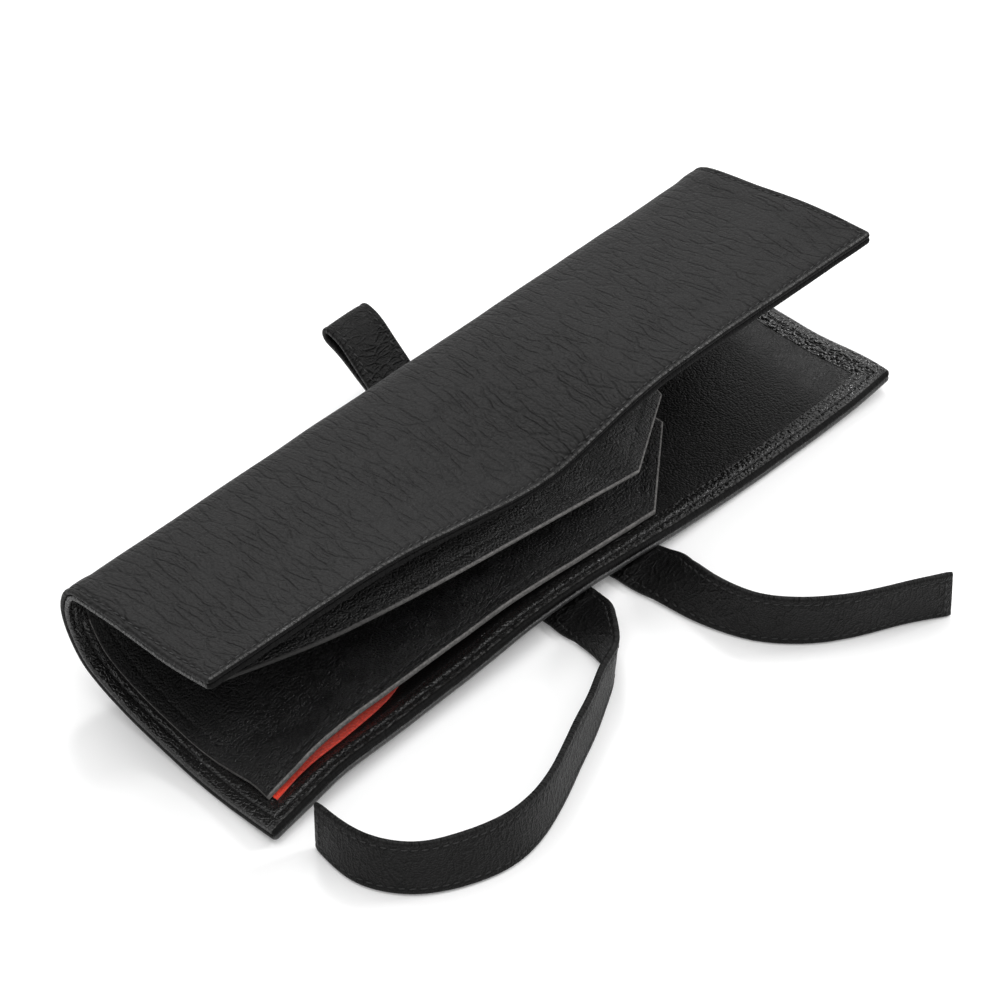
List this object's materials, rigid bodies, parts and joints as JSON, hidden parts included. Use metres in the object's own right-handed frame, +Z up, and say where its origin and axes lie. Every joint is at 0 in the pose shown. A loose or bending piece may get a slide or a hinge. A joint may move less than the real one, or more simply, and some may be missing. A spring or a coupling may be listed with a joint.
{
  "type": "leather ever ready case",
  "caption": "Fold-over pebbled leather pouch with stitched hems, an inner pocket panel and a tie strap with a rear loop.",
  "frame": {"origin": "Centre of the underside of the box around the case and its rear loop, without the two free strap tails; the case rests on z = 0.", "axes": "+X along the spine, +Y towards the spine and the rear loop, +Z up; the flap opens towards +Y."},
  "size_m": [0.21, 0.1612, 0.0458],
  "materials": {
    "leather_pebbled": "pebbled, satin",
    "leather_lining": "smooth, matte",
    "leather_hem": "pebbled, satin",
    "leather_panel": "fine grain, raw grey edges",
    "leather_strap": "satin",
    "suede_red": "napped suede"
  },
  "bodies": {
    "lower_leaf": {"cover_lower_leaf": "leather_pebbled", "lining_lower_leaf": "leather_lining", "pocket_lining_lower": "suede_red", "hem_lower_front": "leather_hem", "hem_lower_left": "leather_hem", "hem_lower_right": "leather_hem", "strap_leg_left": "leather_strap", "strap_leg_right": "leather_strap", "strap_loop_rear": "leather_strap", "strap_tail_left": "leather_strap", "strap_tail_right": "leather_strap"},
    "spine": {"cover_spine": "leather_pebbled", "lining_spine": "leather_lining", "hem_spine_left": "leather_hem", "hem_spine_right": "leather_hem", "panel_spine": "leather_panel"},
    "flap": {"cover_flap": "leather_pebbled", "lining_flap": "leather_lining", "hem_flap_front": "leather_hem", "hem_flap_left": "leather_hem", "hem_flap_right": "leather_hem"},
    "lower_panel": {"panel_lower": "leather_panel"},
    "upper_panel": {"panel_upper": "leather_panel"}
  },
  "joints": [
    {"name": "spine_fold", "type": "hinge", "parent": "lower_leaf", "child": "spine", "pos_m": [0, 0.01443, 0.0105], "axis": [-1, 0, 0], "range_deg": [0, 78], "deforming": ["strap_loop_rear"]},
    {"name": "flap_fold", "type": "hinge", "parent": "spine", "child": "flap", "pos_m": [0, 0.02003, 0.029], "axis": [-1, 0, 0], "range_deg": [-3, 92]},
    {"name": "lower_panel_lift", "type": "hinge", "parent": "lower_leaf", "child": "lower_panel", "pos_m": [0, 0.01293, 0.0122], "axis": [-1, 0, 0], "range_deg": [0, 5]},
    {"name": "upper_panel_lift", "type": "hinge", "parent": "flap", "child": "upper_panel", "pos_m": [0, 0.01603, 0.0279], "axis": [-1, 0, 0], "range_deg": [0, 5]}
  ]
}
